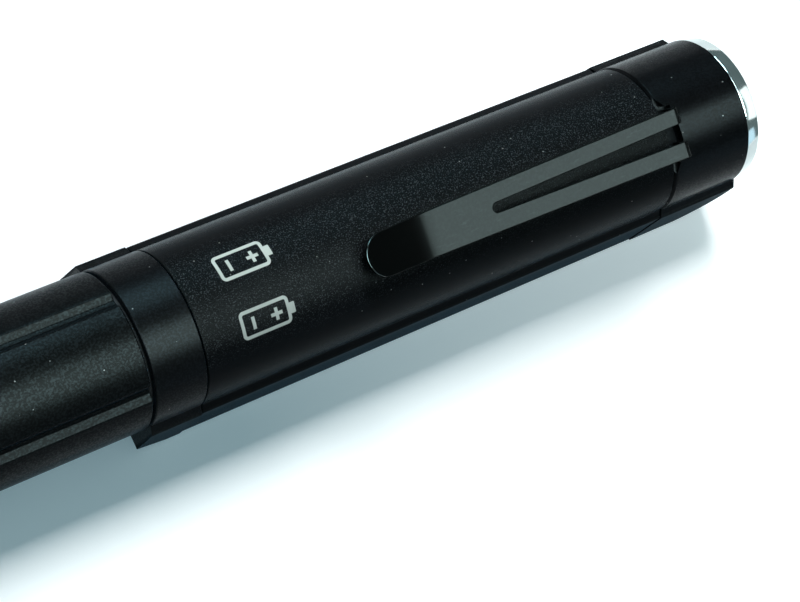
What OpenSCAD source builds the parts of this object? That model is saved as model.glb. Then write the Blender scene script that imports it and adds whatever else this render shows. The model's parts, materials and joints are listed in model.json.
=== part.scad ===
// Pocket work light shaped like a thick pen. A fluted battery handle screws onto a head with a
// round back and a flat side. A light strip shines out of the flat side and a spot light out of
// the nose. A spring clip on the back hooks into the nose cap.
// Lengths are in millimetres. X runs along the barrel towards the spot light and Z is up.
// The head's flat side lies on Z = 0, and the origin is at the middle of the light's footprint.

/* [Cells] */
// Diameter of one cell
cell_d = 10.5; // [9:0.1:12]
// Length of one cell, nub included
cell_l = 44.5; // [38:0.5:52]
// Diameter of a cell's nub
nub_d = 3.8; // [3:0.1:4.5]
// Height of a cell's nub
nub_l = 1; // [0.6:0.1:1.6]

/* [Handle] */
// Radial room around a cell
cell_play = 0.25; // [0.15:0.05:0.5]
// Wall of the sleeve around the cells, and of the threaded spigots at its ends
sleeve_wall = 0.7; // [0.6:0.05:1.2]
// Wall of the handle tube
handle_wall = 1.75; // [1.5:0.05:2.5]
// Number of flutes along the handle
flute_count = 5; // [3:1:8]
// Width of a flute
flute_w = 1.9; // [1:0.1:2.6]
// Depth of a flute
flute_depth = 0.6; // [0.4:0.05:1.2]
// Width of a flute's floor, as a share of its width
flute_floor_share = 0.25; // [0.1:0.05:0.9]
// Turn of the first flute from the top, towards -Y
flute_turn = -26.5; // [-72:0.5:72]
// Length of the thread between head and handle
thread_l = 7; // [5:0.5:10]
// Thickness of the flat seal between head and handle
seal_t = 0.3; // [0.2:0.05:0.6]

/* [Head] */
// Length of the collar next to the handle
collar_l = 5.4; // [4:0.1:8]
// Length of the head shell
shell_l = 55.6; // [50:0.2:70]
// Wall of the shell's round back
shell_wall = 1.2; // [0.9:0.05:1.6]
// Wall of the shell's flat sides
side_wall = 1.3; // [0.9:0.05:1.6]
// Thickness of the shell's flat underside
floor_t = 1.4; // [1:0.1:2]
// How far the flat sides stand out from the round back
side_step = 1; // [0.6:0.05:1.6]
// How far the flat underside lies below the round handle
flat_step = 0.4; // [0.2:0.05:1]
// How far the collar and the nose cap stand out from the shell's sides
end_proud = 0.1; // [0:0.02:0.2]
// Rise of the collar's underside at the handle end
collar_rise = 2.4; // [1:0.1:3]
// Length of the collar's rising underside
collar_ramp_l = 4.5; // [2:0.1:5]

/* [Nose] */
// Length of the nose cap
nose_l = 9.8; // [9:0.1:14]
// Radius of the rounded end of the nose cap's flat sides
nose_round = 6; // [3:0.1:6.4]
// Length of the bright ring in front of the nose cap
bezel_l = 1.75; // [1:0.05:2]
// Radius of the opening in the bright ring
bezel_open_r = 5.6; // [4:0.1:6]
// Wall of the nose cap around the bright ring's skirt
nose_wall = 0.98; // [0.8:0.02:1.2]
// Thickness of the spot lens at its rim
lens_t = 1.4; // [1:0.1:2]
// Length of the spot reflector
reflector_l = 4.6; // [3.5:0.1:4.8]

/* [Light strip] */
// Length of the window in the flat side
window_l = 43; // [30:0.5:44]
// Width of the window in the flat side
window_w = 10; // [6:0.1:11]
// Width of the glowing strip
strip_w = 5; // [3:0.1:6]
// Length of the glowing strip
strip_l = 40; // [28:0.5:42]

/* [Clip] */
// Turn of the clip from the top of the head, towards -Y
clip_turn = 14; // [0:0.5:20]
// Thickness of the clip's sheet
clip_t = 0.5; // [0.4:0.05:0.7]
// Length of the clip from its tip to its root
clip_l = 39; // [30:0.5:46]
// Width of the clip at its root
clip_root_w = 5.3; // [4.5:0.1:6.5]
// Width of the clip at its tip
clip_tip_w = 4.4; // [3.5:0.1:6]
// Length of the raised tip
clip_flare_l = 7.8; // [4:0.1:9]
// How far the raised tip rises
clip_flare_rise = 0.85; // [0.3:0.05:1.5]
// Length of the slot from the root
slot_l = 24; // [12:0.5:27]
// Width of the slot at the root
slot_root_w = 2; // [1.2:0.1:2.4]
// Width of the slot at its round end
slot_tip_w = 1; // [0.6:0.1:1.4]

/* [Tail] */
// Travel of the tail button
press = 1.5; // [0.8:0.1:2]
// Diameter of the tail button
button_d = 9.2; // [7:0.1:9.6]
// Length of the tail switch
switch_l = 5.5; // [4.6:0.1:8]
// Length of the tail contact spring under load
contact_spring_l = 4; // [3:0.1:6]
// Length of the tail cap's spigot inside the handle
tail_plug_l = 6.2; // [5:0.1:9]

/* [Hidden] */
$fn = 96;

// Clearances: a sliding fit, a moving fit, a face that may lift off, a seam that shows,
// room for a swinging or pressed piece, and the overrun of every cut
fit_gap = 0.05;
slide_gap = 0.08;
face_gap = 0.02;
seam_gap = 0.15;
swing_gap = 0.3;
overrun = 1;

// Small edges and thicknesses
edge_cut = 0.4;
soft_edge = 0.25;
seam_edge = 0.1;
board_t = 1;
pad_t = 0.3;
pad_r = 2.2;
ring_t = 0.6;

// Radii about the barrel's axis
cell_r = cell_d / 2;
bore_r = cell_r + cell_play;
sleeve_r = bore_r + sleeve_wall;
handle_bore_r = sleeve_r + fit_gap;
body_r = handle_bore_r + handle_wall;
shell_in_r = body_r - shell_wall;
plug_r = shell_in_r - fit_gap;
nose_proud = 0.08;
nose_r = body_r + nose_proud;
seat_lip = 1.1;
seat_r = bore_r - seat_lip;

// The flat-sided outline
half_w = body_r + side_step;
drop = body_r + flat_step;
shoulder_tuck = 0.4;
shoulder_rise = 0.8;
shoulder_fall = 0.4;
side_lean = 0.25;
cavity_half = half_w - side_wall;
cavity_top = shoulder_fall + side_wall;
floor_z = floor_t - drop;

// Places along the barrel, counted from the collar's face at the head shell
plug_l = 4.5;
seat_x = 1;
collar_x = -collar_l;
shell_x = seam_gap;
shell_end_x = shell_x + shell_l;
nose_x = shell_end_x + seam_gap;
nose_end_x = nose_x + nose_l;
front_x = nose_end_x + bezel_l;
pad_x = seat_x - board_t - pad_t;
cell_x = pad_x - fit_gap;
cells_end_x = cell_x - 2 * cell_l;
switch_end_x = cells_end_x - contact_spring_l;
switch_x = switch_end_x - switch_l;
flange_t = 0.9;
flange_end_x = switch_x - press - swing_gap;
flange_x = flange_end_x - flange_t;
lip_t = 1.8;
lip_end_x = flange_x - face_gap;
recess_x = lip_end_x - lip_t;
rim_over = 0.3;
button_x = recess_x - press - slide_gap - rim_over;
tail_x = button_x - rim_over;
seal_x = collar_x - face_gap - seal_t;
handle_end_x = seal_x - face_gap;
handle_x = switch_end_x;
spigot_x = collar_x - thread_l;
tail_plug_end_x = handle_x + tail_plug_l;
mid_x = (tail_x + front_x) / 2;
shell_mid_x = shell_x + shell_l / 2;

// The spot light inside the nose cap
nose_plug_l = 4.1;
nose_wall_over = 0.15;
spot_setback = 2.4;
spot_x = nose_x + spot_setback;
spot_front_x = spot_x + board_t;
reflector_end_x = spot_front_x + reflector_l;
lens_x = reflector_end_x + ring_t;
skirt_r = nose_r - nose_wall - fit_gap;
bezel_bore_r = skirt_r - ring_t;
spot_r = bezel_bore_r - fit_gap;
lead_bore_r = 4.6;
bezel_seat_x = reflector_end_x - ring_t;
lens_crown = 0.35;
reflector_wall = 0.5;
reflector_steps = 8;
led_w = 3;
reflector_throat_r = led_w / sqrt(2) + slide_gap;
led_base_t = 0.7;
led_dome_r = 1.3;

// The light strip behind the flat side
window_flange = 1.5;
window_flange_t = 0.8;
window_recess = 0.2;
strip_air = 1.1;
strip_t = 0.7;
strip_z = floor_z + window_flange_t + strip_air + strip_t;
strip_board_over = 2;
strip_board_l = strip_l + 2 * strip_board_over;
strip_board_half = cavity_half - 2 * fit_gap;
ledge_w = 1.8;
ledge_t = 1;

// The driver on its ledges at the barrel's axis
driver_l = 36;
driver_tuck = 0.6;
driver_half = shell_in_r - driver_tuck;
driver_ledge_in = driver_half - ledge_w / 2;
driver_x = shell_mid_x - driver_l / 2;
lead_r = 0.4;
lead_y = 2;
lead_hold = 4;
lead_z = board_t + lead_r + face_gap;
coil_r = 2.5;
coil_h = 2.6;
chip_l = 5;
chip_w = 4;
chip_h = 1.4;
can_r = 2;
can_h = 4;
coil_place_share = 0.25;
chip_place_share = 0.52;
can_place_share = 0.8;

// The clip, in a frame turned with it: along the barrel and up from the axis
clip_root_in = 1.15;
clip_root_x = nose_x + clip_root_in;
clip_tip_x = clip_root_x - clip_l;
clip_bend_x = clip_tip_x + clip_flare_l;
clip_bend_r = 0.9;
clip_low_z = body_r + swing_gap;
clip_root_lift = 0.95;
clip_top_z = clip_low_z + clip_root_lift + clip_t;
clip_axis_x = clip_root_x - clip_bend_r;
clip_axis_z = clip_top_z - clip_bend_r;
notch_floor_z = plug_r + 2 * fit_gap;
notch_end_x = clip_root_x + swing_gap;
notch_flare_l = 0.8;
notch_flare_w = 1.4;
tang_z = notch_floor_z + swing_gap;

// The tail
switch_r = bore_r - fit_gap;
retainer_t = 1.2;
retainer_in_r = 4.4;
contact_spring_r = 3.8;
spring_wall = 0.7;
stem_r = 1.9;
stem_in_l = 2;
stem_spring_l = 2.2;
stem_spring_wall = 0.4;
stem_x = switch_x + stem_in_l;
button_r = button_d / 2;
flange_r = button_r + ring_t;
recess_r = 6.2;
tail_cut = 0.6;

// Sets a station along the barrel, on its axis
module station(x) {
    translate([x - mid_x, 0, drop]) children();
}

// Turns an outline of radius and place along X about the barrel's axis
module turned(x = 0) {
    station(x) rotate([0, 90, 0]) rotate_extrude() children();
}

// A plain tube or rod about the barrel's axis
module tube(x, end_x, r, hole_r = 0) {
    turned() translate([hole_r, x]) square([r - hole_r, end_x - x]);
}

// Runs an outline of Y and Z along the barrel
module run(x, end_x) {
    station(x) rotate([90, 0, 90]) linear_extrude(end_x - x) children();
}

// Runs a side view of X and Z right across the head
module across() {
    station(0) rotate([90, 0, 0]) linear_extrude(2 * (half_w + overrun), center = true) children();
}

// The flat-sided part of the head's outline, with its sloping shoulders and leaning sides
module flat_sides(half) {
    shoulder = body_r - shoulder_tuck;
    polygon([
        [side_lean - half, -shoulder_fall], [-shoulder, shoulder_rise], [shoulder, shoulder_rise],
        [half - side_lean, -shoulder_fall], [half, edge_cut - drop], [half - edge_cut, -drop],
        [edge_cut - half, -drop], [-half, edge_cut - drop]
    ]);
}

// A block with its length along X, centred on X and Y, standing on a height above the axis
module block(x, l, w, z, h) {
    station(x) translate([-l / 2, -w / 2, z]) cube([l, w, h]);
}

// Two wires side by side along the barrel, lying on the driver board
module wire_pair(x, end_x) {
    for (side = [-1, 1])
        station(x) translate([0, side * lead_y, lead_z]) rotate([0, 90, 0])
            cylinder(h = end_x - x, r = lead_r, $fn = 24);
}

module head_shell() {
    color([0.07, 0.07, 0.075]) difference() {
        union() {
            tube(shell_x, shell_end_x, body_r);
            run(shell_x, shell_end_x) flat_sides(half_w);
        }
        run(shell_x - overrun, shell_end_x + overrun) shell_cavity();
        tube(shell_x - overrun, plug_l + seam_gap, shell_in_r);
        tube(nose_x - nose_plug_l - seam_gap, shell_end_x + overrun, shell_in_r);
        block(shell_mid_x, window_l, window_w, -drop - overrun, floor_t + 2 * overrun);
    }
}

// The hollow of the shell, less the ledges that carry the two boards
module shell_cavity() {
    difference() {
        union() {
            circle(shell_in_r);
            translate([-cavity_half, floor_z]) square([2 * cavity_half, -floor_z - cavity_top]);
        }
        for (side = [-1, 1]) {
            translate([side * (cavity_half - ledge_w / 2), strip_z - ledge_t / 2])
                square([ledge_w + 2 * fit_gap, ledge_t], center = true);
            translate([side * (driver_ledge_in + ledge_w / 2), -ledge_t / 2])
                square([ledge_w, ledge_t], center = true);
        }
    }
}

module front_collar() {
    color([0.05, 0.05, 0.055]) difference() {
        union() {
            turned() polygon([
                [0, collar_x], [body_r - seam_edge, collar_x], [body_r, collar_x + seam_edge],
                [body_r, 0], [0, 0]
            ]);
            difference() {
                run(collar_x, 0) flat_sides(half_w + end_proud);
                across() polygon([
                    [collar_x - overrun, -drop - overrun], [collar_x - overrun, collar_rise - drop],
                    [collar_x, collar_rise - drop], [collar_x + collar_ramp_l, -drop],
                    [collar_x + collar_ramp_l, -drop - overrun]
                ]);
            }
            tube(-fit_gap, plug_l, plug_r);
            tube(spigot_x, collar_x + fit_gap, sleeve_r);
        }
        tube(spigot_x - overrun, seat_x, bore_r);
        tube(seat_x - overrun, plug_l + overrun, seat_r);
    }
}

module nose_cap() {
    wall_end_x = nose_end_x + nose_wall_over;
    round_x = wall_end_x - nose_round;
    color([0.05, 0.05, 0.055]) difference() {
        union() {
            turned() polygon([
                [0, nose_x], [nose_r - soft_edge, nose_x], [nose_r, nose_x + soft_edge],
                [nose_r, nose_end_x], [0, nose_end_x]
            ]);
            difference() {
                run(nose_x, wall_end_x) flat_sides(half_w + end_proud);
                across() difference() {
                    translate([round_x, -drop - overrun])
                        square([nose_round + overrun, nose_round + overrun]);
                    translate([round_x, nose_round - drop]) circle(nose_round);
                }
            }
            tube(nose_x - nose_plug_l, nose_x + fit_gap, plug_r);
        }
        tube(nose_x - nose_plug_l - overrun, spot_x + fit_gap, lead_bore_r);
        tube(spot_x, nose_end_x, spot_r + fit_gap);
        tube(bezel_seat_x - fit_gap, nose_end_x + overrun, skirt_r + fit_gap);
        tube(nose_end_x, nose_end_x + overrun, nose_r);
        clip_notch();
    }
}

// The flared notch in the nose cap's edge that takes the clip's root
module clip_notch() {
    narrow = clip_root_w / 2 + swing_gap;
    wide = narrow + notch_flare_w;
    station(0) rotate([clip_turn, 0, 0]) translate([0, 0, notch_floor_z])
        linear_extrude(nose_r) polygon([
            [nose_x - seam_gap / 2, -wide], [nose_x, -wide], [nose_x + notch_flare_l, -narrow],
            [notch_end_x, -narrow], [notch_end_x, narrow], [nose_x + notch_flare_l, narrow],
            [nose_x, wide], [nose_x - seam_gap / 2, wide]
        ]);
}

module bezel_ring() {
    lip_x = lens_x + lens_t + face_gap;
    color([0.85, 0.86, 0.87]) turned() polygon([
        [bezel_bore_r, bezel_seat_x], [skirt_r, bezel_seat_x], [skirt_r, nose_end_x + face_gap],
        [body_r, nose_end_x + face_gap], [body_r - nose_proud, front_x - soft_edge],
        [body_r - nose_proud - soft_edge, front_x], [bezel_open_r + ring_t, front_x],
        [bezel_open_r, lip_x],
        [bezel_bore_r, lip_x]
    ]);
}

module spot_lens() {
    crown_r = bezel_open_r - ring_t;
    color([0.85, 0.92, 0.95, 0.5]) union() {
        tube(lens_x, lens_x + lens_t, spot_r);
        turned() polygon([
            [0, lens_x + lens_t - fit_gap], [crown_r, lens_x + lens_t - fit_gap],
            for (k = [0 : reflector_steps])
                let (turn = 90 * k / reflector_steps)
                [crown_r * cos(turn), lens_x + lens_t + lens_crown * sin(turn)]
        ]);
    }
}

module lens_seal() {
    seal_r = ring_t / 2 - face_gap;
    color([0.1, 0.1, 0.1]) turned()
        translate([spot_r - ring_t / 2, reflector_end_x + ring_t / 2]) circle(seal_r, $fn = 32);
}

module spot_reflector() {
    mouth_r = spot_r - 2 * reflector_wall;
    function curve(k) = sqrt(reflector_throat_r ^ 2 + (mouth_r ^ 2 - reflector_throat_r ^ 2) * k);
    inner = [for (k = [0 : reflector_steps]) let (t = k / reflector_steps)
        [curve(t), spot_front_x + t * reflector_l]];
    color([0.9, 0.9, 0.9]) turned() polygon(concat(inner, [
        [spot_r, reflector_end_x], [spot_r, reflector_end_x - reflector_wall],
        [mouth_r + reflector_wall, reflector_end_x - reflector_wall],
        for (k = [reflector_steps - 1 : -1 : 0]) inner[k] + [reflector_wall, 0]
    ]));
}

module spot_led() {
    color([0.95, 0.9, 0.6]) union() {
        station(spot_front_x) translate([0, -led_w / 2, -led_w / 2])
            cube([led_base_t, led_w, led_w]);
        station(spot_front_x + led_base_t) intersection() {
            sphere(led_dome_r, $fn = 48);
            translate([-fit_gap, -led_dome_r, -led_dome_r]) cube(2 * led_dome_r);
        }
    }
}

module spot_board() {
    color([0.9, 0.9, 0.88]) tube(spot_x, spot_front_x, spot_r);
}

module strip_window() {
    color([0.92, 0.94, 0.95, 0.6]) union() {
        block(shell_mid_x, window_l - 2 * fit_gap, window_w - 2 * fit_gap, window_recess - drop,
            floor_t - window_recess + fit_gap);
        block(shell_mid_x, window_l + 2 * window_flange, window_w + 2 * window_flange, floor_z,
            window_flange_t);
    }
}

module strip_board() {
    color([0.93, 0.93, 0.9])
        block(shell_mid_x, strip_board_l, 2 * strip_board_half, strip_z, board_t);
}

module glow_strip() {
    color([0.95, 0.85, 0.25]) block(shell_mid_x, strip_l, strip_w, strip_z - strip_t, strip_t);
}

module driver_board() {
    color([0.1, 0.35, 0.18]) block(shell_mid_x, driver_l, 2 * driver_half, 0, board_t);
}

module driver_parts() {
    color([0.2, 0.2, 0.2]) {
        station(driver_x + coil_place_share * driver_l) translate([0, 0, board_t])
            cylinder(h = coil_h, r = coil_r, $fn = 48);
        block(driver_x + chip_place_share * driver_l, chip_l, chip_w, board_t, chip_h);
        station(driver_x + can_place_share * driver_l) translate([0, 0, board_t])
            cylinder(h = can_h, r = can_r, $fn = 48);
    }
}

module contact_board() {
    color([0.1, 0.35, 0.18]) tube(seat_x - board_t, seat_x, bore_r - fit_gap);
}

module contact_pad() {
    color([0.8, 0.65, 0.3]) tube(pad_x, seat_x - board_t, pad_r);
}

module contact_leads() {
    color([0.6, 0.1, 0.1]) wire_pair(seat_x, driver_x + lead_hold);
}

module spot_leads() {
    color([0.6, 0.1, 0.1]) wire_pair(driver_x + driver_l - lead_hold, spot_x);
}

module strip_leads() {
    color([0.6, 0.1, 0.1]) for (side = [-1, 1])
        station(driver_x + lead_hold) translate([0, side * lead_y, strip_z + board_t])
            cylinder(h = -strip_z - board_t, r = lead_r, $fn = 24);
}

module pocket_clip() {
    color([0.3, 0.31, 0.31]) station(0) rotate([clip_turn, 0, 0]) intersection() {
        rotate([90, 0, 0]) linear_extrude(clip_root_w + overrun, center = true) clip_side();
        linear_extrude(2 * clip_top_z) clip_plan();
    }
}

// The clip seen from the side: raised tip, long blade, bend and tang
module clip_side() {
    polygon([
        [clip_tip_x, clip_low_z + clip_flare_rise], [clip_bend_x, clip_low_z],
        [clip_axis_x, clip_top_z - clip_t], [clip_axis_x, clip_top_z],
        [clip_bend_x, clip_low_z + clip_t], [clip_tip_x, clip_low_z + clip_flare_rise + clip_t]
    ]);
    translate([clip_axis_x, clip_axis_z]) intersection() {
        difference() {
            circle(clip_bend_r);
            circle(clip_bend_r - clip_t);
        }
        square(clip_bend_r);
    }
    translate([clip_root_x - clip_t, tang_z]) square([clip_t, clip_axis_z - tang_z]);
}

// The clip seen from above: a tapered strip with a round tip and a tapered slot
module clip_plan() {
    tip_r = clip_tip_w / 2;
    slot_x = clip_root_x - slot_l;
    slot_tip_r = slot_tip_w / 2;
    difference() {
        union() {
            translate([clip_tip_x + tip_r, 0]) circle(tip_r);
            polygon([
                [clip_tip_x + tip_r, -tip_r], [clip_root_x + overrun, -clip_root_w / 2],
                [clip_root_x + overrun, clip_root_w / 2], [clip_tip_x + tip_r, tip_r]
            ]);
        }
        translate([slot_x + slot_tip_r, 0]) circle(slot_tip_r, $fn = 32);
        polygon([
            [slot_x + slot_tip_r, -slot_tip_r], [clip_root_x + 2 * overrun, -slot_root_w / 2],
            [clip_root_x + 2 * overrun, slot_root_w / 2], [slot_x + slot_tip_r, slot_tip_r]
        ]);
    }
}

module handle_seal() {
    color([0.1, 0.1, 0.1])
        tube(seal_x, collar_x - face_gap, body_r - flute_depth - slide_gap, handle_bore_r);
}

module handle_tube() {
    color([0.06, 0.06, 0.065]) difference() {
        turned() polygon([
            [handle_bore_r, handle_x], [body_r - soft_edge, handle_x], [body_r, handle_x + soft_edge],
            [body_r, handle_end_x - seam_edge], [body_r - seam_edge, handle_end_x],
            [handle_bore_r, handle_end_x]
        ]);
        for (k = [0 : flute_count - 1])
            run(handle_x - overrun, handle_end_x + overrun)
                rotate(flute_turn + 360 * k / flute_count) flute();
    }
}

// The outline cut away by one flute: a narrow floor and sloping sides that reach past the tube
module flute() {
    floor_half = flute_floor_share * flute_w / 2;
    slope = (flute_w / 2 - floor_half) / flute_depth;
    top_half = flute_w / 2 + slope * overrun;
    polygon([
        [-floor_half, body_r - flute_depth], [floor_half, body_r - flute_depth],
        [top_half, body_r + overrun], [-top_half, body_r + overrun]
    ]);
}

module cell_sleeve() {
    color([0.75, 0.75, 0.72])
        tube(tail_plug_end_x + fit_gap, spigot_x - fit_gap, sleeve_r, bore_r);
}

// One cell, its nub towards the head
module cell(x) {
    turned() polygon([
        [0, x - cell_l], [cell_r, x - cell_l], [cell_r, x - nub_l], [nub_d / 2, x - nub_l],
        [nub_d / 2, x], [0, x]
    ]);
}

module front_cell() {
    color([0.25, 0.3, 0.4]) cell(cell_x);
}

module rear_cell() {
    color([0.25, 0.3, 0.4]) cell(cell_x - cell_l);
}

module tail_cap() {
    color([0.05, 0.05, 0.055]) difference() {
        turned() polygon([
            [0, tail_x], [drop - tail_cut, tail_x], [drop, tail_x + tail_cut],
            [drop, handle_x - face_gap], [sleeve_r, handle_x - face_gap],
            [sleeve_r, tail_plug_end_x], [0, tail_plug_end_x]
        ]);
        tube(tail_x - overrun, recess_x, recess_r);
        tube(recess_x - overrun, lip_end_x + overrun, button_r + slide_gap);
        tube(lip_end_x, tail_plug_end_x + overrun, bore_r);
    }
}

module contact_spring() {
    color([0.75, 0.76, 0.78])
        tube(switch_end_x, cells_end_x, contact_spring_r, contact_spring_r - spring_wall);
}

module switch_retainer() {
    color([0.7, 0.7, 0.68])
        tube(switch_end_x, switch_end_x + retainer_t, switch_r, retainer_in_r);
}

module switch_body() {
    color([0.15, 0.15, 0.16]) difference() {
        tube(switch_x, switch_end_x, switch_r);
        tube(switch_x - overrun, stem_x + stem_spring_l, stem_r + slide_gap);
    }
}

module switch_spring() {
    color([0.75, 0.76, 0.78])
        tube(stem_x, stem_x + stem_spring_l, stem_r, stem_r - stem_spring_wall);
}

module tail_button() {
    color([0.09, 0.09, 0.09]) turned() polygon([
        [0, button_x], [button_r - tail_cut, button_x], [button_r, button_x + tail_cut],
        [button_r, flange_x], [flange_r, flange_x], [flange_r, flange_end_x],
        [stem_r, flange_end_x], [stem_r, stem_x], [0, stem_x]
    ]);
}

head_shell();
front_collar();
nose_cap();
bezel_ring();
spot_lens();
lens_seal();
spot_reflector();
spot_led();
spot_board();
strip_window();
strip_board();
glow_strip();
driver_board();
driver_parts();
contact_board();
contact_pad();
contact_leads();
strip_leads();
spot_leads();
pocket_clip();
handle_seal();
handle_tube();
cell_sleeve();
front_cell();
rear_cell();
tail_cap();
contact_spring();
switch_retainer();
switch_body();
switch_spring();
tail_button();
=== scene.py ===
import json
import math

import bmesh
import bpy
from bpy.props import FloatProperty, FloatVectorProperty, PointerProperty
from mathutils import Euler, Matrix, Vector


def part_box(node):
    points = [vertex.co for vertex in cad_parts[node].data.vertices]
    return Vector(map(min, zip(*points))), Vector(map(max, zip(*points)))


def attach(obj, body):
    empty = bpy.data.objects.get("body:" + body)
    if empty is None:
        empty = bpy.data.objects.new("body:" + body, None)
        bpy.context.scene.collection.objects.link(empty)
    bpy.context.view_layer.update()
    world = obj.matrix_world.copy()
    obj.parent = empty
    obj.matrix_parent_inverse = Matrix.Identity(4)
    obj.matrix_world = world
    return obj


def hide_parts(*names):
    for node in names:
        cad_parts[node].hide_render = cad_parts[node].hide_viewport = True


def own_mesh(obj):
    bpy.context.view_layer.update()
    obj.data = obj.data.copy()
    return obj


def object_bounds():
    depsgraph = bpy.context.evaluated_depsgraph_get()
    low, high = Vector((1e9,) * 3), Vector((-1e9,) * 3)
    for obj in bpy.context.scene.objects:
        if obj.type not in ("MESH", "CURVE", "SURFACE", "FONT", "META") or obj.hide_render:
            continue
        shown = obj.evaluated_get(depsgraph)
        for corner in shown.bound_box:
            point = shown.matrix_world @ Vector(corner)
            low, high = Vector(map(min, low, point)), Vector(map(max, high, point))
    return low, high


bl_info = {
    "name": "Pocket work light",
    "version": (1, 0, 0),
    "blender": (4, 5, 0),
    "location": "View3D > Sidebar > Work light",
    "description": "Finishes a pen-shaped work light on its fixed frame and lights it on a pale table",
    "category": "Object",
}

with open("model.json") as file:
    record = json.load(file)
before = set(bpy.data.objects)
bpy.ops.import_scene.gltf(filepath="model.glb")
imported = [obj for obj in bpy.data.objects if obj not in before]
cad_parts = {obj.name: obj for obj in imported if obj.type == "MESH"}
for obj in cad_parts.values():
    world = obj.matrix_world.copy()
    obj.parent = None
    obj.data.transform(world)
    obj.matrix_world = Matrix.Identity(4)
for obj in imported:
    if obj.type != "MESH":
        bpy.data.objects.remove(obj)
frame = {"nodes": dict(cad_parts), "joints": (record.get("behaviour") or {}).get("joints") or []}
CAD_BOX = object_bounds()
MM = 0.001

# Places that the frame gives
HANDLE_LOW, HANDLE_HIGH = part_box("handle_tube")
SHELL_LOW, SHELL_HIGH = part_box("head_shell")
AXIS_Z = (HANDLE_LOW.z + HANDLE_HIGH.z) / 2
BODY_R = (HANDLE_HIGH.z - HANDLE_LOW.z) / 2

# How a mesh is cleaned before its edges are rounded
WELD_GAP = 1e-6
FLAT_ANGLE = math.radians(0.6)

# Gloss that the black pieces share
WALL_ROUGHNESS = 0.45
SHEEN_ROUGHNESS = 0.35


def length(name, description, default):
    """A size in metres that the sidebar shows in scene units."""
    return FloatProperty(
        name=name, description=description, default=default, min=0.0, unit="LENGTH", precision=5
    )


def colour(name, description, default):
    """A linear colour that the sidebar shows as a swatch."""
    return FloatVectorProperty(
        name=name, description=description, default=default, size=3, min=0.0, max=1.0, subtype="COLOR"
    )


def brightness(name, description, default):
    """How bright a light box looks, where one is the picture's white."""
    return FloatProperty(name=name, description=description, default=default, min=0.0)


class LightSizes(bpy.types.PropertyGroup):
    """Sizes of edges, grain and small details."""

    edge_round: length("Edge round", "Rounding of moulded and turned edges", 0.12 * MM)
    clip_round: length("Clip edge round", "Rounding of the clip's stamped edges", 0.09 * MM)
    clip_bend: length("Clip bend", "Half the length of the bend at the clip's raised tip", 0.9 * MM)
    ring_length: length("Ring length", "Length of the bright ring in front of the nose cap", 1.72 * MM)
    ring_taper: length("Ring taper", "How far the bright ring narrows towards its front", 0.18 * MM)
    stipple: length("Stipple", "Size of one grain of the shell's stipple", 0.13 * MM)
    satin_grain: length("Satin grain", "Size of one grain of the satin pieces", 0.12 * MM)
    anodise_grain: length("Anodise grain", "Size of one grain of the handle's surface", 0.13 * MM)
    dust_spacing: length("Dust spacing", "Spacing of the dust specks on the black pieces", 1.6 * MM)
    mark_line: length("Mark line", "Line width of the printed cell marks", 0.34 * MM)
    thread_pitch: length("Thread pitch", "Rise of the handle's thread in one turn", 1.0 * MM)
    contact_wire: length("Contact spring wire", "Thickness of the contact spring's wire", 0.55 * MM)
    switch_wire: length("Switch spring wire", "Thickness of the switch spring's wire", 0.16 * MM)


class LightColours(bpy.types.PropertyGroup):
    """Colours of the finishes."""

    shell: colour("Shell", "Stippled shell", (0.0017, 0.002, 0.0022))
    satin: colour("Satin pieces", "Collar, nose cap and tail cap", (0.0012, 0.0014, 0.0016))
    handle: colour("Handle", "Anodised handle tube", (0.0014, 0.0017, 0.0018))
    clip: colour("Clip", "Dark spring steel of the clip", (0.0015, 0.002, 0.002))
    ring: colour("Bright ring", "Polished ring at the nose", (0.56, 0.6, 0.595))
    mark: colour("Marks", "Printed cell marks", (0.4, 0.45, 0.43))
    rubber: colour("Rubber", "Seals and tail button", (0.012, 0.012, 0.013))
    reflector: colour("Reflector", "Metallised bowl behind the lens", (0.85, 0.86, 0.86))
    phosphor: colour("Phosphor", "Light strip and spot emitter", (0.86, 0.62, 0.09))
    board: colour("White board", "White solder mask", (0.78, 0.79, 0.76))
    driver: colour("Green board", "Green solder mask", (0.012, 0.11, 0.045))
    copper: colour("Contact", "Plated contact pad", (0.78, 0.6, 0.28))
    steel: colour("Spring steel", "Plated springs", (0.62, 0.63, 0.64))
    lead: colour("Leads", "Insulation of the wires", (0.3, 0.02, 0.02))
    can: colour("Cell wrap", "Plain wrap of the cells", (0.05, 0.09, 0.16))
    sleeve: colour("Sleeve", "Natural plastic sleeve", (0.6, 0.6, 0.55))
    sheen: colour("Sheen", "Cold sheen of the black pieces at a flat angle", (0.3, 0.68, 1.0))
    dust: colour("Dust", "Specks of dust on the black pieces", (0.3, 0.32, 0.32))


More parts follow.
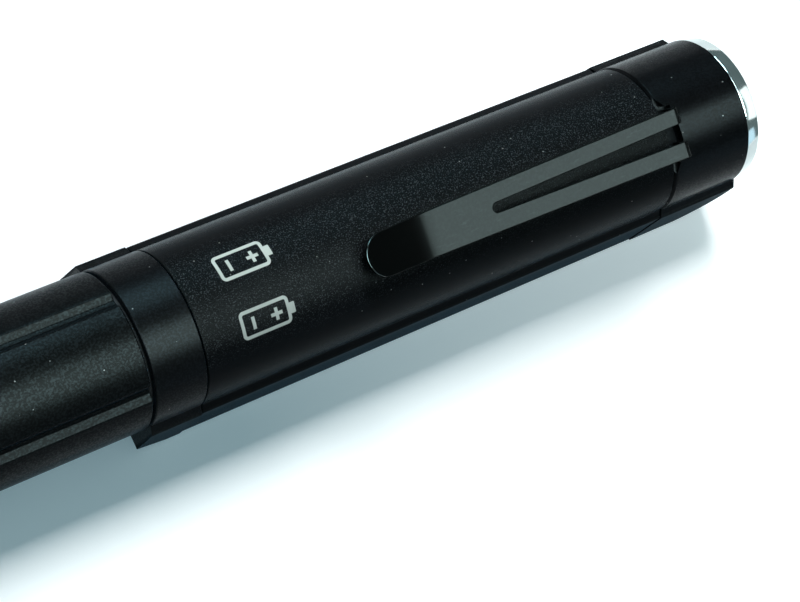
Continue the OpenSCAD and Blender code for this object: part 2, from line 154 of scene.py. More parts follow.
class StageSettings(bpy.types.PropertyGroup):
    """Camera, lamps and table."""

    camera_place: FloatVectorProperty(
        name="Camera place", description="Where the camera stands", subtype="TRANSLATION", unit="LENGTH",
        default=(-61.46 * MM, -24.16 * MM, 221.84 * MM),
    )
    camera_turn: FloatVectorProperty(
        name="Camera turn", description="The camera's rotation", subtype="EULER", unit="ROTATION",
        default=tuple(math.radians(a) for a in (15.41, -21.70, -26.94)),
    )
    camera_lens: FloatProperty(
        name="Lens", description="Focal length in millimetres", default=108.0, subtype="DISTANCE_CAMERA"
    )
    key_power: FloatProperty(name="Key", description="Power of the large lamp", default=40.0, subtype="POWER")
    far_glow: brightness("Far box", "Brightness of the far light box", 23.0)
    top_glow: brightness("Top box", "Brightness of the light box above", 39.0)
    rear_glow: brightness("Rear box", "Brightness of the light box behind the tail", 14.0)
    over_glow: brightness("Over box", "Brightness of the light box over the tail", 21.0)
    card_glow: brightness("Front card", "Brightness of the card in front of the nose", 1.8)
    near_glow: brightness("Near wall", "Brightness of the near wall", 1.35)
    end_glow: brightness("End wall", "Brightness of the wall past the nose", 0.9)
    room_glow: colour("Room glow", "Brightness of the dim room", (0.16, 0.22, 0.225))
    table_glow: colour("Table glow", "What the camera sees besides the table's shading", (0.1, 0.165, 0.195))
    # Painted light on the table beside the nose, which lightens the shadow there
    nose_painted_light: colour("Table lift", "The same beside the nose", (0.38, 0.445, 0.465))
    table_far: colour("Far table", "The same far from the light", (0.8, 0.8, 0.8))
    table: colour("Table", "Colour of the pale table", (0.86, 0.86, 0.86))


class Wire:
    """An output socket that takes part in sums. Each sum adds a Math node."""

    def __init__(self, finish, socket):
        self.finish = finish
        self.socket = socket

    def math(self, operation, *others):
        return self.finish.node("ShaderNodeMath", {"operation": operation}, (self, *others))

    def __add__(self, other):
        return self.math("ADD", other)

    def __sub__(self, other):
        return self.math("SUBTRACT", other)

    def __rsub__(self, other):
        return self.finish.node("ShaderNodeMath", {"operation": "SUBTRACT"}, (other, self))

    def __mul__(self, other):
        return self.math("MULTIPLY", other)

    def __truediv__(self, other):
        return self.math("DIVIDE", other)

    def __rtruediv__(self, other):
        return self.finish.node("ShaderNodeMath", {"operation": "DIVIDE"}, (other, self))

    def __lt__(self, other):
        return self.math("LESS_THAN", other)

    def __gt__(self, other):
        return self.math("GREATER_THAN", other)

    def __abs__(self):
        return self.math("ABSOLUTE")

    __radd__ = __add__
    __rmul__ = __mul__

    def clamp(self):
        """The value, kept between nothing and one."""
        return self.math("MAXIMUM", 0.0).math("MINIMUM", 1.0)

    def rise(self, start, span):
        """Nothing up to the start, one past the span after it, and straight between."""
        return ((self - start) / span).clamp()

    def fall(self, end, span):
        """One up to the span before the end, nothing past the end, and straight between."""
        return ((end - self) / span).clamp()


class Finish:
    """One material under construction."""

    def __init__(self, name):
        self.material = bpy.data.materials.new(name)
        self.material.use_nodes = True
        self.tree = self.material.node_tree
        self.tree.nodes.clear()

    def node(self, kind, setup=None, inputs=(), output=0):
        """Adds a node, sets it up, feeds its sockets and returns one output."""
        made = self.tree.nodes.new(kind)
        for name, value in (setup or {}).items():
            setattr(made, name, value)
        pairs = inputs.items() if isinstance(inputs, dict) else enumerate(inputs)
        for key, value in pairs:
            self.feed(made.inputs[key], value)
        return Wire(self, made.outputs[output]) if made.outputs else None

    def feed(self, socket, value):
        if isinstance(value, Wire):
            self.tree.links.new(value.socket, socket)
        elif socket.type == "RGBA" and len(value) == 3:
            socket.default_value = (*value, 1.0)
        else:
            socket.default_value = value

    def place(self):
        """Where a point lies in the piece's own frame."""
        return self.node("ShaderNodeTexCoord", output="Object")

    def split(self, vector):
        """The three parts of a vector."""
        made = self.node("ShaderNodeSeparateXYZ", inputs=(vector,))
        return [Wire(self, socket) for socket in made.socket.node.outputs]

    def stretch(self, vector, scale):
        """A vector with each part scaled by itself."""
        return self.node("ShaderNodeVectorMath", {"operation": "MULTIPLY"}, (vector, scale))

    def noise(self, vector, size, detail=2.0, rough=0.5):
        """Cloudy values about a half, with grains of the given size."""
        inputs = {"Vector": vector, "Scale": 1.0 / size, "Detail": detail, "Roughness": rough}
        return self.node("ShaderNodeTexNoise", inputs=inputs)

    def dots(self, vector, size):
        """Distance to the nearest of many scattered points, in shares of their spacing."""
        return self.node("ShaderNodeTexVoronoi", inputs={"Vector": vector, "Scale": 1.0 / size})

    def mix(self, factor, first, second):
        """A colour that goes from the first to the second."""
        return self.node(
            "ShaderNodeMix", {"data_type": "RGBA"}, {0: factor, 6: first, 7: second}, output=2
        )

    def bump(self, height, depth, strength=1.0):
        """A surface normal that follows a height of the given depth."""
        return self.node("ShaderNodeBump", inputs={"Height": height, "Distance": depth, "Strength": strength})

    def surface(self, **sockets):
        """Ends the material in a Principled shader with the given sockets."""
        named = {key.replace("_", " "): value for key, value in sockets.items()}
        shader = self.node("ShaderNodeBsdfPrincipled", inputs=named)
        self.node("ShaderNodeOutputMaterial", inputs={"Surface": shader})
        return self.material


def times(shade, factor):
    """A colour made lighter or darker."""
    return [min(1.0, part * factor) for part in shade]


def paint(material, *nodes):
    """Gives the nodes' objects one material in all their slots."""
    for node in nodes:
        for slot in frame["nodes"][node].material_slots:
            slot.material = material


def soften(node, width):
    """Rounds a node's edges: seams welded, flat faces joined, edges bevelled and shading weighted."""
    piece = frame["nodes"][node]
    weld = piece.modifiers.new("weld", "WELD")
    weld.merge_threshold = WELD_GAP
    flatten = piece.modifiers.new("flatten", "DECIMATE")
    flatten.decimate_type = "DISSOLVE"
    flatten.angle_limit = FLAT_ANGLE
    bevel = piece.modifiers.new("edges", "BEVEL")
    bevel.width = width
    bevel.segments = 3
    bevel.limit_method = "ANGLE"
    bevel.angle_limit = math.radians(28.0)
    bevel.use_clamp_overlap = True
    shade = piece.modifiers.new("shading", "WEIGHTED_NORMAL")
    shade.keep_sharp = False
    shade.weight = 90


def settings():
    """The three groups of values in the scene."""
    scene = bpy.context.scene
    return scene.light_sizes, scene.light_colours, scene.stage_settings


def stand_in(name, mesh, node, body, material):
    """Puts a finer mesh in a node's place, on the node's body and with its slot."""
    piece = bpy.data.objects.new(name, mesh)
    bpy.context.scene.collection.objects.link(piece)
    mesh.materials.clear()
    mesh.materials.append(material)
    mesh.shade_smooth()
    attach(piece, body)
    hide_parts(node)
    return piece


def fillet(outline, radius, steps=4):
    """A closed outline with its corners cut round."""
    side_share = 0.45
    made = []
    for i, corner in enumerate(outline):
        here = Vector(corner)
        to_last = Vector(outline[i - 1]) - here
        to_next = Vector(outline[(i + 1) % len(outline)]) - here
        half = to_last.angle(to_next) / 2
        reach = min(radius / math.tan(half), to_last.length * side_share, to_next.length * side_share)
        start = here + to_last.normalized() * reach
        end = here + to_next.normalized() * reach
        for k in range(steps + 1):
            t = k / steps
            made.append(start * (1 - t) ** 2 + here * 2 * t * (1 - t) + end * t ** 2)
    return made


def turned_mesh(name, outline, steps=160):
    """A closed outline of (x, radius) points swept once round the barrel's axis."""
    shape = bmesh.new()
    rings = []
    for k in range(steps):
        turn = 2 * math.pi * k / steps
        across, up = math.sin(turn), math.cos(turn)
        rings.append([shape.verts.new((x, r * across, AXIS_Z + r * up)) for x, r in outline])
    for k, ring in enumerate(rings):
        after = rings[(k + 1) % steps]
        for i in range(len(outline)):
            shape.faces.new((ring[i - 1], ring[i], after[i], after[i - 1]))
    bmesh.ops.recalc_face_normals(shape, faces=shape.faces)
    mesh = bpy.data.meshes.new(name)
    shape.to_mesh(mesh)
    shape.free()
    return mesh


def rounded_box(u, v, half_u, half_v, corner):
    """Signed distance to a round-cornered rectangle about zero, in metres."""
    past_u = (abs(u) - (half_u - corner)).math("MAXIMUM", 0.0)
    past_v = (abs(v) - (half_v - corner)).math("MAXIMUM", 0.0)
    return (past_u * past_u + past_v * past_v).math("SQRT") - corner


def cell_mark(along, around, line):
    """Ink of a plain cell outline with its nub, a plus and a minus."""
    half_length = 2.5 * MM
    half_width = 1.25 * MM
    corner = 0.35 * MM
    nub_place = 2.85 * MM
    nub_half_length = 0.35 * MM
    nub_half_width = 0.55 * MM
    nub_corner = 0.1 * MM
    plus_place = 1.2 * MM
    minus_place = -1.3 * MM
    stroke = 0.62 * MM
    stroke_corner = 0.02 * MM
    edge_blur = 0.04 * MM
    plus = along - plus_place
    nearest = abs(rounded_box(along, around, half_length, half_width, corner)) - line / 2
    for shape in (
        rounded_box(along - nub_place, around, nub_half_length, nub_half_width, nub_corner),
        rounded_box(plus, around, stroke, line / 2, stroke_corner),
        rounded_box(plus, around, line / 2, stroke, stroke_corner),
        rounded_box(along - minus_place, around, line / 2, stroke, stroke_corner),
    ):
        nearest = nearest.math("MINIMUM", shape)
    return nearest.fall(edge_blur / 2, edge_blur)


def dusty(finish, place, ground):
    """A ground colour with a few specks of dust on it."""
    speck_size = 0.05
    speck_blur = 1 / 60
    speck_cover = 0.5
    sizes, colours, _ = settings()
    specks = finish.dots(place, sizes.dust_spacing).fall(speck_size, speck_blur)
    return finish.mix(specks * speck_cover, ground, colours.dust)


def outer_side(finish, place):
    """One on the outer faces of the flat side walls, where the black is rougher, and nothing elsewhere."""
    start = (BODY_R + 0.5 * MM) ** 2
    span = 6.0 * MM * MM
    _, y, _ = finish.split(place)
    return (y * y).rise(start, span)


def stippled_shell():
    """Black shell with a sandblasted stipple, painted glints on the grains of its back, and two printed cell
    marks.
    """
    stipple_depth = 0.03 * MM
    cloud_size = 6.0 * MM
    back_end = 7.0 * MM
    back_blend = 3.0 * MM
    flank_depth = 0.4
    glint_from = 0.58
    glint_span = 1 / 14
    glint_factor = 17.0
    cloud_factor = 1.5
    mark_from_seam = 6.8 * MM
    first_arc = -2.5 * MM
    second_arc = 3.5 * MM
    wear_size = 0.1 * MM
    wear_from = 1.3 / 6
    wear_span = 1 / 6
    wear = 0.25
    ink_fill = 0.6
    ink_roughness = 0.55
    sizes, colours, _ = settings()
    finish = Finish("stippled_shell")
    place = finish.place()
    x, y, z = finish.split(place)
    grains = finish.dots(place, sizes.stipple)
    fine = finish.noise(place, sizes.stipple, 1.0, 0.6)
    cloud = finish.noise(place, cloud_size, 3.0)
    arc = (y * -1.0).math("ARCTAN2", z - AXIS_Z) * BODY_R
    # Lighter grains on the back of the shell only, fading out towards the flanks: painted glints where the
    # grains face the lamps. The same mask deepens the stipple's bump there.
    back = abs(arc).fall(back_end, back_blend)
    pale_glints = fine.rise(glint_from, glint_span) * back
    along = x - (SHELL_LOW.x + mark_from_seam)
    first = cell_mark(along, arc - first_arc, sizes.mark_line)
    second = cell_mark(along, arc - second_arc, sizes.mark_line)
    wear_and_edge_highlight = finish.noise(place, wear_size).rise(wear_from, wear_span)
    ink = first.math("MAXIMUM", second) * (z > AXIS_Z) * (wear_and_edge_highlight * wear + (1.0 - wear))
    ground = finish.mix(cloud, colours.shell, times(colours.shell, cloud_factor))
    ground = finish.mix(pale_glints, ground, times(colours.shell, glint_factor))
    height = (fine - grains) * (1.0 - ink * ink_fill) * (flank_depth + back * (1.0 - flank_depth))
    black_roughness = 0.2 + cloud * 0.06 + outer_side(finish, place) * WALL_ROUGHNESS
    return finish.surface(
        Base_Color=finish.mix(ink, dusty(finish, place, ground), colours.mark),
        Roughness=black_roughness * (1.0 - ink) + ink * ink_roughness,
        Specular_IOR_Level=0.012,
        Sheen_Weight=0.08,
        Sheen_Roughness=SHEEN_ROUGHNESS,
        Sheen_Tint=colours.sheen,
        Normal=finish.bump(height, stipple_depth),
    )


def satin_black(name, ground, grain, roughness, shine=0.02, thread_end=None):
    """Smooth satin black with a faint grain, cloudy gloss and, up to a place along X, a thread."""
    grain_depth = 0.006 * MM
    cloud_size = 5.0 * MM
    cloud_factor = 1.6
    sand_size = 1.6 * grain
    sand_from = 0.45
    sand_span = 1 / 6
    sand_factor = 3.5
    sand_metal = 0.25
    inner_radius = BODY_R - 0.7 * MM
    inner_roughness = 0.4
    sizes, colours, _ = settings()
    finish = Finish(name)
    place = finish.place()
    fine = finish.noise(place, grain, 2.0, 0.55)
    cloud = finish.noise(place, cloud_size, 3.0)
    sand = finish.noise(place, sand_size, 1.0, 0.6).rise(sand_from, sand_span)
    shade = finish.mix(cloud, ground, times(ground, cloud_factor))
    _, y, z = finish.split(place)
    up = z - AXIS_Z
    inner = (y * y + up * up) < inner_radius ** 2
    sides = inner * inner_roughness + outer_side(finish, place) * WALL_ROUGHNESS
    height = fine * grain_depth
    if thread_end is not None:
        height = height + thread_height(finish, place, sizes.thread_pitch, thread_end)
    return finish.surface(
        Base_Color=dusty(finish, place, finish.mix(sand, shade, times(ground, sand_factor))),
        Metallic=sand * sand_metal,
        Roughness=roughness + fine * 0.08 + cloud * 0.05 + sides,
        Specular_IOR_Level=shine,
        Sheen_Weight=0.06,
        Sheen_Roughness=SHEEN_ROUGHNESS,
        Sheen_Tint=colours.sheen,
        Normal=finish.bump(height, 1.0),
    )


def thread_height(finish, place, pitch, end):
    """Height of a right-hand thread on the spigot behind the given place along X, in metres."""
    steepness = 0.6
    x, y, z = finish.split(place)
    turn = y.math("ARCTAN2", z - AXIS_Z) / (2 * math.pi)
    ridge = abs((x / pitch + turn).math("FRACT") - 0.5)
    return ridge * (x < end) * (pitch * steepness)


def dark_spring_steel():
    """Blackened spring steel: a smooth tip, a blade with fine scuffs, specks and brushed lines, and a painted
    edge highlight on the faces turned towards minus X.
    """
    rub_start = 7.2 * MM
    rub_blend = 1.0 * MM
    bend_place = 7.4 * MM
    bend_half = 1.5 * MM
    curl_start = 7.9 * MM
    curl_span = 1.8 * MM
    curl_slope = 0.05
    line_size = 0.08 * MM
    mottle_size = 0.3 * MM
    speck_spacing = 0.7 * MM
    scuff_size = 0.35 * MM
    scuff_cover = 0.7
    mottle_factor = 4.0
    scuff_factor = 14.0
    edge_highlight_factor = 24.0
    edge_highlight_blur = 1 / 6
    scratch_depth = 0.0012 * MM
    _, colours, _ = settings()
    finish = Finish("dark_spring_steel")
    place = finish.place()
    x, _, _ = finish.split(place)
    from_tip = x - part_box("pocket_clip")[0].x
    rubbed = from_tip.rise(rub_start, rub_blend)
    lines = finish.noise(finish.stretch(place, (0.06, 1.0, 1.0)), line_size)
    mottle = finish.noise(place, mottle_size, 3.0, 0.6).rise(0.44, 0.2) * rubbed
    specks = finish.dots(place, speck_spacing).fall(0.13, 1 / 22) * rubbed
    scuffs = finish.noise(finish.stretch(place, (0.3, 1.0, 1.0)), scuff_size, 3.0).rise(0.6, 1 / 7) * rubbed
    step = (from_tip - bend_place) / bend_half
    bend = (1.0 - step * step).clamp()
    tip_flat = curl_start - curl_span
    turn = from_tip.fall(curl_start, curl_span)
    curl = (turn * turn * (curl_span / 2) + from_tip.fall(tip_flat, tip_flat) * tip_flat) * curl_slope
    # Faces turned towards minus X get a lighter, metal-like colour: a painted edge highlight along the tip's
    # rounded rim.
    facing, _, _ = finish.split(finish.node("ShaderNodeTexCoord", output="Normal"))
    wear_and_edge_highlight = facing.fall(-0.2, edge_highlight_blur) * facing.rise(-0.8, edge_highlight_blur)
    ground = finish.mix(mottle, colours.clip, times(colours.clip, mottle_factor))
    scuffed = finish.mix(scuffs * scuff_cover, ground, times(colours.clip, scuff_factor))
    scratches = lines * 0.4 - mottle * 0.2 - specks * 0.5
    return finish.surface(
        Base_Color=finish.mix(wear_and_edge_highlight, scuffed, times(colours.clip, edge_highlight_factor)),
        Metallic=wear_and_edge_highlight,
        Roughness=0.05 + rubbed * 0.04 + bend * 0.14 + lines * 0.03 + mottle * 0.07 + specks * 0.35,
        Specular_IOR_Level=0.027,
        Normal=finish.bump(scratches * scratch_depth + curl, 1.0),
    )


def polished_ring():
    """Bright turned ring with faint turning lines."""
    line_size = 0.05 * MM
    line_depth = 0.004 * MM
    cloud_size = 2.0 * MM
    _, colours, _ = settings()
    finish = Finish("polished_ring")
    place = finish.place()
    lines = finish.noise(finish.stretch(place, (1.0, 0.02, 0.02)), line_size)
    cloud = finish.noise(place, cloud_size)
    return finish.surface(
        Base_Color=finish.mix(cloud, colours.ring, times(colours.ring, 0.95)),
        Metallic=1.0,
        Roughness=0.06 + lines * 0.05 + cloud * 0.03,
        Normal=finish.bump(lines, line_depth, 0.2),
    )


def clear_moulding():
    """Clear moulded plastic of the lens and the window."""
    ripple_size = 1.5 * MM
    ripple_depth = 0.01 * MM
    finish = Finish("clear_moulding")
    ripple = finish.noise(finish.place(), ripple_size)
    return finish.surface(
        Base_Color=(0.96, 0.98, 0.98),
        Roughness=0.04 + ripple * 0.06,
        Transmission_Weight=1.0,
        IOR=1.49,
        Normal=finish.bump(ripple, ripple_depth, 0.15),
    )


def plain(name, ground, roughness, metal=0.0):
    """A plain finish with a little grain, for rubber and for the pieces inside the light."""
    grain_size = 0.2 * MM
    grain_depth = 0.01 * MM
    cloud_size = 3.0 * MM
    finish = Finish(name)
    place = finish.place()
    fine = finish.noise(place, grain_size)
    cloud = finish.noise(place, cloud_size)
    return finish.surface(
        Base_Color=finish.mix(cloud, ground, times(ground, 1.12)),
        Metallic=metal,
        Roughness=roughness + fine * 0.1,
        Specular_IOR_Level=0.05,
        Normal=finish.bump(fine, grain_depth, 0.2),
    )


class LIGHT_OT_head(bpy.types.Operator):
    """Finishes the shell, the collar, the nose cap and the bright ring"""

    bl_idname = "work_light.head"
    bl_label = "Head"

    def execute(self, context):
        sizes, colours, _ = settings()
        paint(stippled_shell(), "head_shell")
        collar_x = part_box("handle_seal")[1].x
        collar = satin_black("collar_satin", colours.satin, sizes.satin_grain, 0.24, thread_end=collar_x)
        paint(collar, "front_collar")
        paint(satin_black("nose_satin", colours.satin, sizes.satin_grain, 0.18), "nose_cap")
        for node in ("head_shell", "front_collar", "nose_cap"):
            soften(node, sizes.edge_round)
        stand_in("bright_ring", self.ring(sizes), "bezel_ring", "head", polished_ring())
        return {"FINISHED"}

    def ring(self, sizes):
        """The ring's outline: a skirt inside the nose cap, a tapered rim and a lip over the lens."""
        chamfer_x = 0.2 * MM
        chamfer_r = 0.25 * MM
        skirt_depth = 1.0 * MM
        skirt_wall = 0.55 * MM
        opening = 5.6 * MM
        lip_slope = 0.5 * MM
        lens_gap = 0.02 * MM
        corner = 0.08 * MM
        low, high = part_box("bezel_ring")
        back = high.x - sizes.ring_length
        front = high.x - chamfer_x
        front_r = BODY_R - sizes.ring_taper
        skirt = BODY_R - skirt_depth
        bore = skirt - skirt_wall
        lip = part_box("spot_lens")[1].x + lens_gap
        outline = [
            (low.x, bore), (low.x, skirt), (back, skirt), (back, BODY_R), (front, front_r),
            (high.x, front_r - chamfer_r), (high.x, opening + lip_slope), (lip, opening), (lip, bore),
        ]
        return turned_mesh("bright_ring", fillet(outline, corner))


def coil_mesh(name, low_x, high_x, radius, wire, turns, steps=30, sides=10):
    """A round wire wound about the barrel's axis, its end turns closed."""
    closed_turns = 0.75
    shape = bmesh.new()
    count = int(turns * steps)
    closed = closed_turns / turns
    rings = []
    for k in range(count + 1):
        share = min(max((k / count - closed) / (1 - 2 * closed), 0.0), 1.0)
        centre = low_x + wire / 2 + share * (high_x - low_x - wire)
        turn = 2 * math.pi * k / steps
        ring = []
        for i in range(sides):
            around = 2 * math.pi * i / sides
            r = radius + math.cos(around) * wire / 2
            x = centre + math.sin(around) * wire / 2
            ring.append(shape.verts.new((x, r * math.sin(turn), AXIS_Z + r * math.cos(turn))))
        rings.append(ring)
    for ring, after in zip(rings, rings[1:]):
        for i in range(sides):
            shape.faces.new((ring[i - 1], ring[i], after[i], after[i - 1]))
    shape.faces.new(rings[0])
    shape.faces.new(rings[-1])
    bmesh.ops.recalc_face_normals(shape, faces=shape.faces)
    mesh = bpy.data.meshes.new(name)
    shape.to_mesh(mesh)
    shape.free()
    return mesh


def clip_mesh(edge, bend):
    """The clip's own solid with its edges rounded and the bend at its raised tip made smooth."""
    least_crease = 0.05
    most_crease = 0.3
    least_corner = 0.5
    crease_length = 2.0 * MM
    across_gap = 0.01 * MM
    half_round = 0.5
    shape = bmesh.new()
    shape.from_mesh(frame["nodes"]["pocket_clip"].data)
    bmesh.ops.remove_doubles(shape, verts=shape.verts, dist=WELD_GAP)
    bmesh.ops.dissolve_limit(shape, angle_limit=FLAT_ANGLE, verts=shape.verts, edges=shape.edges)
    inner = [e for e in shape.edges if len(e.link_faces) == 2]
    across = [e for e in inner if abs((e.verts[0].co - e.verts[1].co).x) < across_gap]
    creases = [
        e for e in across
        if least_crease < e.calc_face_angle() < most_crease and e.calc_length() > crease_length
    ]
    bmesh.ops.bevel(shape, geom=creases, offset=bend, segments=5, profile=half_round, affect="EDGES")
    inner = [e for e in shape.edges if len(e.link_faces) == 2]
    corners = [e for e in inner if e.calc_face_angle() > least_corner]
    bmesh.ops.bevel(
        shape, geom=corners, offset=edge, segments=2, profile=half_round, affect="EDGES", clamp_overlap=True
    )
    for part in (*shape.faces, *shape.edges):
        part.smooth = True
    mesh = bpy.data.meshes.new("pocket_clip_bent")
    shape.to_mesh(mesh)
    shape.free()
    return mesh


class LIGHT_OT_clip(bpy.types.Operator):
    """Makes the pocket clip with a smooth bend at its raised tip"""

    bl_idname = "work_light.clip"
    bl_label = "Clip"

    def execute(self, context):
        sizes, _, _ = settings()
        mesh = clip_mesh(sizes.clip_round, sizes.clip_bend)
        clip = stand_in("pocket_clip_bent", mesh, "pocket_clip", "clip", dark_spring_steel())
        shade = clip.modifiers.new("shading", "WEIGHTED_NORMAL")
        shade.weight = 100
        return {"FINISHED"}


class LIGHT_OT_handle(bpy.types.Operator):
    """Finishes the handle, its seal and the pieces inside it"""

    bl_idname = "work_light.handle"
    bl_label = "Handle"

    def execute(self, context):
        sizes, colours, _ = settings()
        anodised = satin_black("anodised_black", colours.handle, sizes.anodise_grain, 0.25, shine=0.014)
        paint(anodised, "handle_tube")
        soften("handle_tube", sizes.edge_round)
        paint(plain("seal_rubber", colours.rubber, 0.6), "handle_seal")
        paint(plain("sleeve", colours.sleeve, 0.5), "cell_sleeve")
        paint(plain("cell_wrap", colours.can, 0.3), "front_cell", "rear_cell")
        return {"FINISHED"}


class LIGHT_OT_tail(bpy.types.Operator):
    """Finishes the tail cap, the button, the switch and the springs"""

    bl_idname = "work_light.tail"
    bl_label = "Tail"

    def execute(self, context):
        sizes, colours, _ = settings()
        paint(satin_black("tail_satin", colours.satin, sizes.satin_grain, 0.24), "tail_cap")
        soften("tail_cap", sizes.edge_round)
        paint(plain("button_rubber", colours.rubber, 0.62), "tail_button")
        soften("tail_button", sizes.edge_round)
        steel = plain("spring_steel", colours.steel, 0.25, metal=1.0)
        paint(steel, "switch_retainer")
        paint(plain("switch_plastic", colours.rubber, 0.45), "switch_body")
        self.spring("contact_spring", sizes.contact_wire, 4, steel)
        switch = self.spring("switch_spring", sizes.switch_wire, 3.5, steel)
        low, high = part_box("switch_spring")
        travel = next(joint for joint in frame["joints"] if joint["name"] == "button_press")["range_m"][1]
        left = (high.x - low.x - travel) / (high.x - low.x)
        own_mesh(switch)
        return {"FINISHED"}

    def spring(self, node, wire, turns, steel):
        """A coil in the place of a spring's plain tube."""
        low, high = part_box(node)
        radius = (high.z - low.z) / 2 - wire / 2
        mesh = coil_mesh(node + "_coil", low.x, high.x, radius, wire, turns)
        return stand_in(node + "_coil", mesh, node, "handle", steel)


class LIGHT_OT_optics(bpy.types.Operator):
    """Finishes the lens, the window, the light strip and the spot"""

    bl_idname = "work_light.optics"
    bl_label = "Optics"

    def execute(self, context):
        _, colours, _ = settings()
        paint(clear_moulding(), "spot_lens", "strip_window")
        paint(plain("reflector", colours.reflector, 0.06, metal=1.0), "spot_reflector")
        paint(plain("phosphor", colours.phosphor, 0.5), "glow_strip", "spot_led")
        paint(plain("white_board", colours.board, 0.35), "strip_board", "spot_board")
        paint(plain("lens_rubber", colours.rubber, 0.6), "lens_seal")
        return {"FINISHED"}


class LIGHT_OT_electronics(bpy.types.Operator):
    """Finishes the driver, its parts, the contacts and the wires"""

    bl_idname = "work_light.electronics"
    bl_label = "Electronics"

    def execute(self, context):
        _, colours, _ = settings()
        paint(plain("green_board", colours.driver, 0.3), "driver_board", "contact_board")
        paint(plain("driver_plastic", colours.rubber, 0.4), "driver_parts")
        paint(plain("contact_plating", colours.copper, 0.25, metal=1.0), "contact_pad")
        paint(plain("lead_insulation", colours.lead, 0.4), "contact_leads", "strip_leads", "spot_leads")
        return {"FINISHED"}


def lamp(name, place, aim, size, power, tint):
    """A rectangular lamp at one point that looks at another, its first side along the barrel."""
    data = bpy.data.lights.new(name, "AREA")
    data.shape = "RECTANGLE"
    data.size, data.size_y = size
    data.energy = power
    data.color = tint
    made = bpy.data.objects.new(name, data)
    bpy.context.scene.collection.objects.link(made)
    back = (Vector(place) - Vector(aim)).normalized()
    across = back.cross(Vector((1.0, 0.0, 0.0))).normalized()
    along = across.cross(back)
    made.matrix_world = Matrix((along, across, back)).transposed().to_4x4()
    made.location = place
    made.visible_camera = False
    return made


def light_box(name, place, aim, size, glow, tint):
    """A lamp that only gloss and glass show, its face as bright as given whatever its size."""
    box = lamp(name, place, aim, size, glow * math.pi * size[0] * size[1], tint)
    box.visible_diffuse = False


def pale_table(stage):
    """A white table that keeps the shadow, with a glow that the camera, metal and glass see, and painted
    light beside the nose that lightens the shadow there.
    """
    grain_size = 4.0 * MM
    grain_share = 0.3
    grain_factor = 0.97
    painted_light_start = SHELL_LOW.x + 6.0 * MM
    painted_light_end = CAD_BOX[1].x + 22.0 * MM
    painted_light_fade = 20.0 * MM
    beside_reach = 0.09
    beside_fade = 0.08
    far_start = 0.25
    far_fade = 0.7
    finish = Finish("pale_table")
    place = finish.place()
    x, y, _ = finish.split(place)
    grain = finish.noise(place, grain_size)
    # Painted light: the glow grows along the barrel towards the nose and close beside it, lightening the
    # object's shadow there.
    along = x.rise(painted_light_start, CAD_BOX[1].x - painted_light_start) * x.fall(painted_light_end, painted_light_fade)
    beside = (y * y).fall(beside_reach ** 2, beside_fade ** 2)
    away = (x * x + y * y).rise(far_start ** 2, far_fade ** 2)
    glow = finish.mix(along * beside, stage.table_glow, stage.nose_painted_light)
    glow = finish.mix(away, glow, stage.table_far)
    path = finish.node("ShaderNodeLightPath").socket.node.outputs
    rays = [Wire(finish, path[kind]) for kind in ("Is Camera Ray", "Is Glossy Ray", "Is Transmission Ray")]
    seen = (rays[0] + rays[1] + rays[2]).math("MINIMUM", 1.0)
    return finish.surface(
        Base_Color=finish.mix(grain * grain_share, stage.table, times(stage.table, grain_factor)),
        Roughness=1.0,
        Specular_IOR_Level=0.0,
        Emission_Color=finish.mix(seen, (0.0, 0.0, 0.0), glow),
        Emission_Strength=1.0,
    )


def dim_room(stage):
    """The dim room round the table."""
    cloud_size = 0.8
    finish = Finish("dim_room")
    cloud = finish.noise(finish.place(), cloud_size)
    shade = finish.mix(cloud, times(stage.room_glow, 0.8), times(stage.room_glow, 1.2))
    glow = finish.node("ShaderNodeEmission", inputs={"Color": shade, "Strength": 1.0})
    finish.node("ShaderNodeOutputMaterial", inputs={"Surface": glow})
    return finish.material


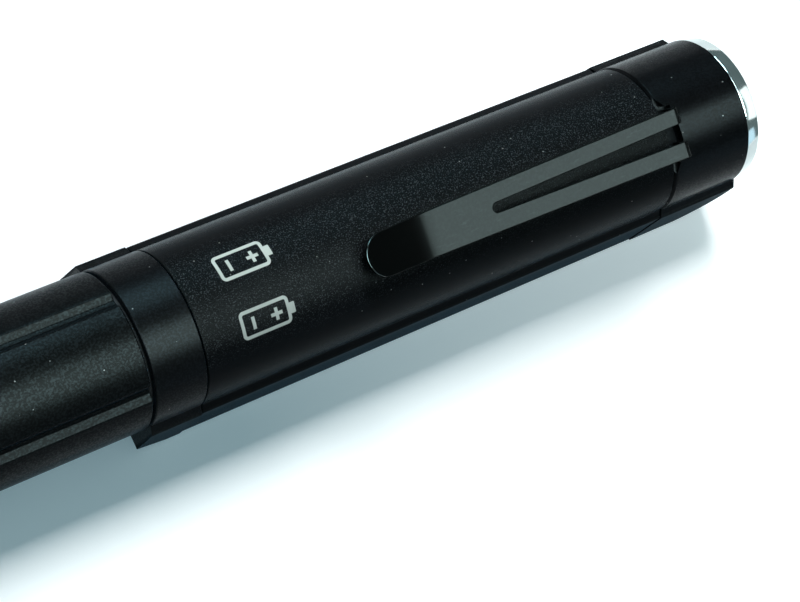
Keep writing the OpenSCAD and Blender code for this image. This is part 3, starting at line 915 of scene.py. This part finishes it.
class LIGHT_OT_stage(bpy.types.Operator):
    """Makes the table, the dim room, the lamps and the camera"""

    bl_idname = "work_light.stage"
    bl_label = "Stage"

    def execute(self, context):
        _, _, stage = settings()
        scene = context.scene
        scene.view_settings.view_transform = "Standard"
        self.world(scene)
        self.table(stage)
        self.room(stage)
        self.lamps(stage)
        self.camera(scene, stage)
        return {"FINISHED"}

    def world(self, scene):
        scene.world = bpy.data.worlds.new("surroundings")
        scene.world.use_nodes = True
        background = scene.world.node_tree.nodes["Background"]
        background.inputs["Color"].default_value = (1.0, 1.0, 1.0, 1.0)
        background.inputs["Strength"].default_value = 1.0

    def table(self, stage):
        half = 12.0
        gap = 0.02 * MM
        mesh = bpy.data.meshes.new("table")
        level = CAD_BOX[0].z - gap
        corners = [(-half, -half, level), (half, -half, level), (half, half, level), (-half, half, level)]
        mesh.from_pydata(corners, [], [(0, 1, 2, 3)])
        table = bpy.data.objects.new("table", mesh)
        mesh.materials.append(pale_table(stage))
        bpy.context.scene.collection.objects.link(table)

    def room(self, stage):
        radius = 2.4
        cut = -0.01
        shell = bmesh.new()
        bmesh.ops.create_uvsphere(shell, u_segments=48, v_segments=24, radius=radius)
        bmesh.ops.delete(shell, geom=[v for v in shell.verts if v.co.z < cut], context="VERTS")
        mesh = bpy.data.meshes.new("room")
        shell.to_mesh(mesh)
        shell.free()
        mesh.materials.append(dim_room(stage))
        room = bpy.data.objects.new("room", mesh)
        room.visible_camera = False
        room.visible_transmission = False
        bpy.context.scene.collection.objects.link(room)

    def lamps(self, stage):
        white = (0.97, 1.0, 1.0)
        pale_glints = (0.92, 1.0, 1.0)
        aqua = (0.76, 1.0, 0.99)
        cool = (0.7, 0.93, 1.0)
        blue = (0.6, 0.85, 1.0)
        deep = (0.52, 0.88, 1.0)
        head = ((SHELL_LOW.x + SHELL_HIGH.x) / 2, 0.0, AXIS_Z)
        nose = (CAD_BOX[1].x, 0.0, AXIS_Z)
        below = (0.405, -0.58, 0.0)
        key = lamp("key", (0.3, 0.95, 1.45), head, (0.54, 0.54), stage.key_power, white)
        key.visible_glossy = False
        light_box("far_box", (0.175, 1.26, 1.18), head, (1.35, 0.92), stage.far_glow, deep)
        light_box("top_box", (0.405, -0.58, 1.5), below, (1.61, 1.05), stage.top_glow, aqua)
        light_box("front_card", (1.24, -0.39, 0.89), nose, (0.34, 1.0), stage.card_glow, pale_glints)
        light_box("rear_box", (-1.4, 0.0, 1.15), head, (1.1, 1.3), stage.rear_glow, cool)
        light_box("over_box", (-0.7, 0.0, 1.5), head, (0.6, 1.3), stage.over_glow, cool)
        light_box("near_wall", (0.3, -1.75, 0.37), head, (2.9, 0.72), stage.near_glow, blue)
        light_box("end_wall", (1.5, -1.9, 0.37), head, (1.4, 0.72), stage.end_glow, pale_glints)

    def camera(self, scene, stage):
        data = bpy.data.cameras.new("camera")
        data.sensor_width = 36.0
        data.lens = stage.camera_lens
        data.clip_start = 0.005
        camera = bpy.data.objects.new("camera", data)
        camera.location = stage.camera_place
        camera.rotation_euler = Euler(stage.camera_turn)
        scene.collection.objects.link(camera)
        scene.camera = camera


class LIGHT_PT_panel(bpy.types.Panel):
    """Lists the steps in the sidebar"""

    bl_idname = "LIGHT_PT_panel"
    bl_label = "Work light"
    bl_space_type = "VIEW_3D"
    bl_region_type = "UI"
    bl_category = "Work light"

    def draw(self, context):
        for step in STEPS:
            self.layout.operator(step.bl_idname)
        for group in settings():
            for name in group.__annotations__:
                self.layout.prop(group, name)


GROUPS = {
    "light_sizes": LightSizes,
    "light_colours": LightColours,
    "stage_settings": StageSettings,
}
STEPS = (
    LIGHT_OT_head,
    LIGHT_OT_clip,
    LIGHT_OT_handle,
    LIGHT_OT_tail,
    LIGHT_OT_optics,
    LIGHT_OT_electronics,
    LIGHT_OT_stage,
)


def register():
    for made in (*GROUPS.values(), *STEPS, LIGHT_PT_panel):
        bpy.utils.register_class(made)
    for name, group in GROUPS.items():
        setattr(bpy.types.Scene, name, PointerProperty(type=group))


def unregister():
    for name in GROUPS:
        delattr(bpy.types.Scene, name)
    for made in (LIGHT_PT_panel, *reversed(STEPS), *GROUPS.values()):
        bpy.utils.unregister_class(made)


def main():
    register()
    for step in STEPS:
        area, name = step.bl_idname.split(".")
        getattr(getattr(bpy.ops, area), name)()


if __name__ == "__main__":
    main()
